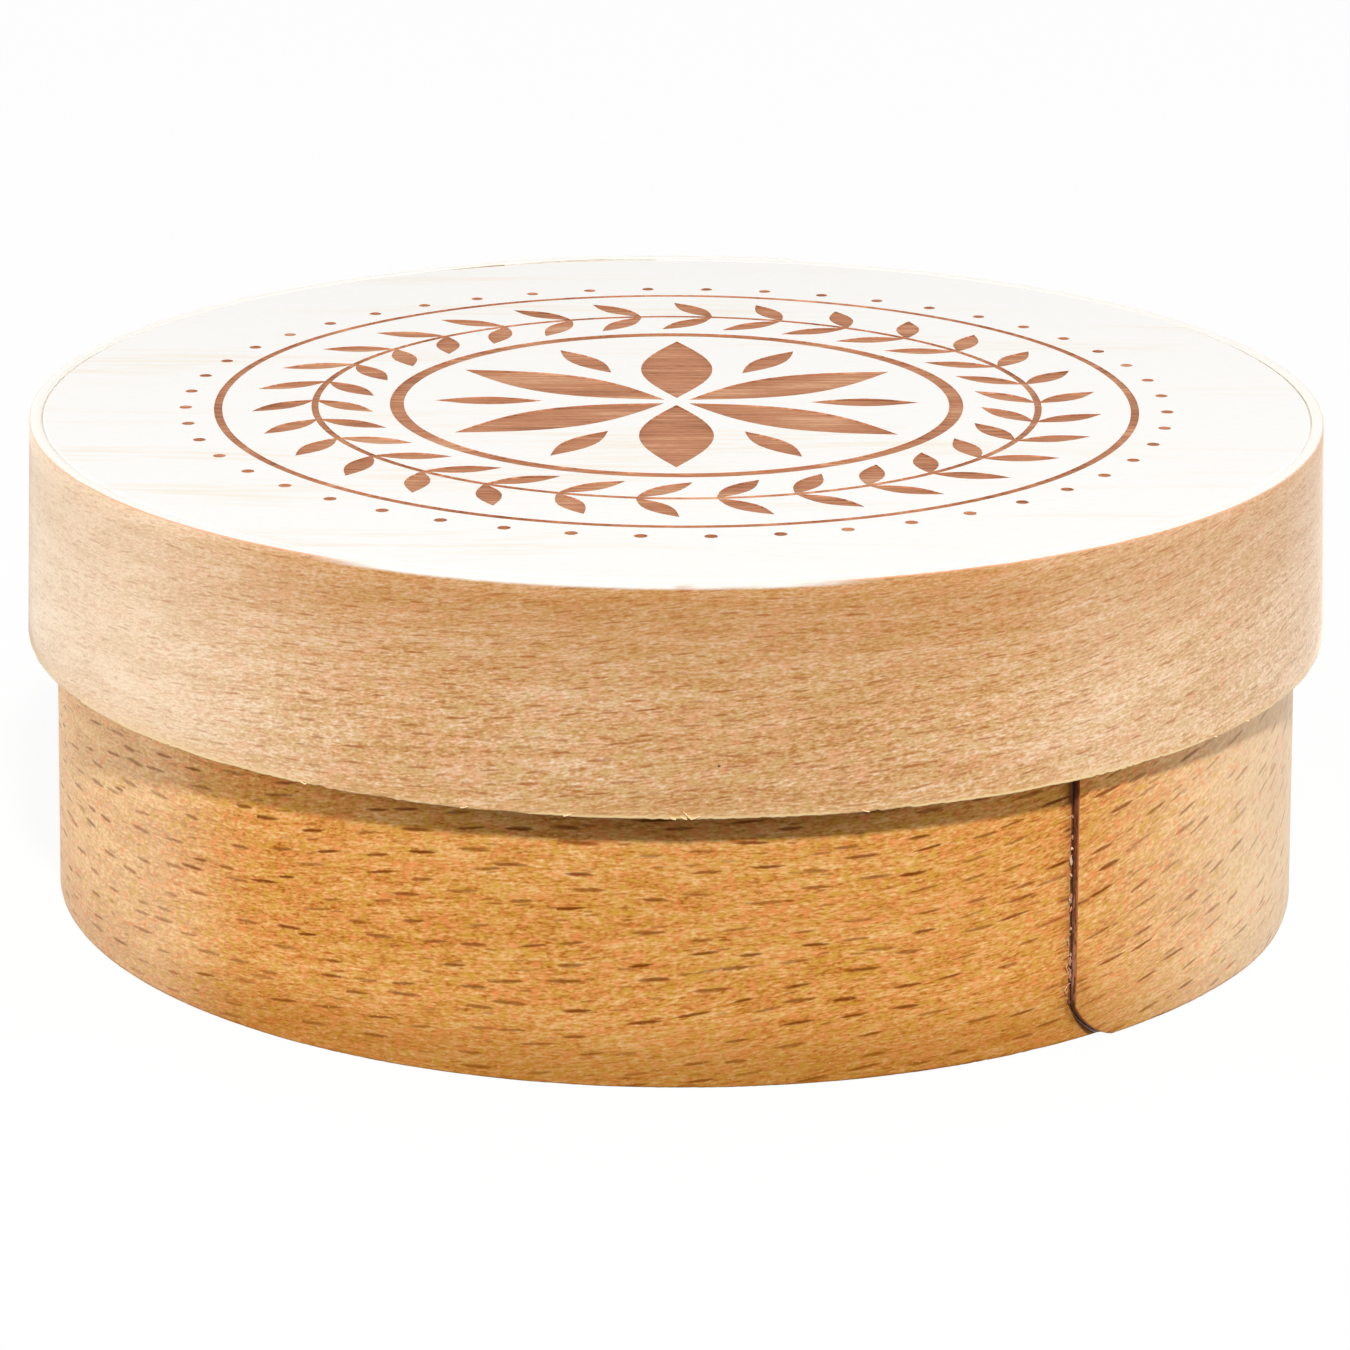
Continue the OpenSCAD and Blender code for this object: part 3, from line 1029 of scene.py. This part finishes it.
def lap_glue(name, hoop, body, replaced, top_z, wedge, looks, seed):
    """The glue of one lap. Its looks are for the film and the thread, for the drops, and for the rest."""
    solids = Solids()
    glue_thread(solids, hoop, top_z, seed)
    lap_film(solids, hoop)
    wedge_fill(solids, hoop, *wedge)
    glue_drops(solids, hoop, top_z, seed)
    torn_bits(solids, hoop)
    piece = solids.piece(name, looks)
    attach(piece, body)
    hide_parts(replaced)


def foot_fibres(hoop, look):
    """Torn fibres that still hang on the lower edge of the lid's band, three of them in a tuft"""
    rng = random.Random(11)
    tuft = math.radians(-88.7)
    leans = [(tuft, -0.75, 0.9), (tuft, 1.2, 0.8), (tuft - 0.006, -1.2, 0.5)]
    leans += [(rng.uniform(-2.9, -0.3), rng.choice((-1.3, 1.3)), rng.uniform(0.4, 0.8)) for _ in range(7)]
    solids = Solids()
    for spot, lean, length in leans:
        centres = []
        for t in range(6):
            done = length * t / 5
            angle = spot + done * math.sin(lean) / hoop.foot_r
            flat = (hoop.foot_r + 0.02 + 0.06 * math.sin(math.pi * t / 5)) * heading(angle)
            centres.append(Vector((flat.x, flat.y, hoop.foot_z + 0.06 + done * math.cos(lean))))
        solids.tube(centres, [0.05, 0.055, 0.055, 0.05, 0.04, 0.02], sides=6)
    piece = solids.piece("lid_foot_fibres", [look])
    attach(piece, "lid")


# The scene

add_camera()
add_sky()
add_softbox("key", 8, 47, 1.6, 0.12, 0.12, 0.89)
add_softbox("front left", -74, 16, 1.2, 0.5, 0.5, 0.3)
add_softbox("front right", 66, 16, 1.2, 0.5, 0.5, 0.25)
add_softbox("left", -92, 4, 1.2, 0.7, 0.16, 0.41)
add_softbox("right", 92, 4, 1.2, 0.7, 0.16, 0.24)
add_softbox("back left", -150, 12, 1.2, 0.5, 0.4, 0.16)
add_softbox("back right", 150, 12, 1.2, 0.5, 0.4, 0.16)
add_floor()

base_veneer = beech("base_veneer", BASE_LOOK, 1.0)
lid_veneer = beech("lid_veneer", LID_LOOK, 40.0)
strip_end = end_grain("strip_end")
lid_board = board("lid_board", srgb(254, 252, 248), srgb(248, 234, 214), srgb(243, 238, 228), 3.0)
base_board = board("base_board", srgb(243, 226, 198), srgb(232, 204, 162), srgb(222, 196, 158), 8.0)
burnt = burnt_wood("burnt_wood")
# Dark brown glue of the thread, partly painted shade beside the strip's end and under its corner
dark_glue_and_shade = dried_glue("dark_glue_and_shade", srgb(72, 38, 20), 0.35, srgb(142, 78, 44))
cloudy_glue = dried_glue("cloudy_glue", srgb(196, 134, 100), 0.3, srgb(244, 212, 184))
torn_fibre = board("torn_fibre", srgb(255, 232, 190), srgb(250, 216, 166), srgb(240, 206, 160), 5.0)
pale_glue = dried_glue("pale_glue", srgb(236, 216, 192), 0.4, srgb(250, 236, 216))

bent_band("base_band_veneer", BASE_HOOP, "base", "base_band",
          [base_veneer, strip_end], 0.06, BASE_RIM_Z, 1.0)
bent_band("lid_band_veneer", LID_HOOP, "lid", "lid_band",
          [lid_veneer, strip_end], 0.24, LID_FOOT_Z + CORNER_UP, 2.0)
lid_disc_piece([lid_board, burnt])
base_wedge = (BASE_HOOP.foot_r - BASE_BAND_T - GLUE_GAP, GLUE_GAP, 0.9)
lid_wedge = (DISC_R, TOP_Z - 0.9, TOP_Z - GLUE_GAP)
lap_glue("base_lap_squeeze", BASE_HOOP, "base", "base_lap_glue", BASE_RIM_Z - 0.6, base_wedge,
         [dark_glue_and_shade, cloudy_glue, cloudy_glue], 5)
lap_glue("lid_lap_squeeze", LID_HOOP, "lid", "lid_lap_glue", TOP_Z - 0.6, lid_wedge,
         [dark_glue_and_shade, cloudy_glue, pale_glue], 6)
foot_fibres(LID_HOOP, torn_fibre)

for node, look in (("base_disc", base_board), ("base_rim_glue", cloudy_glue), ("lid_rim_glue", pale_glue)):
    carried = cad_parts[node].data
    carried.materials.clear()
    carried.materials.append(look)

bpy.context.scene.view_settings.view_transform = "Standard"
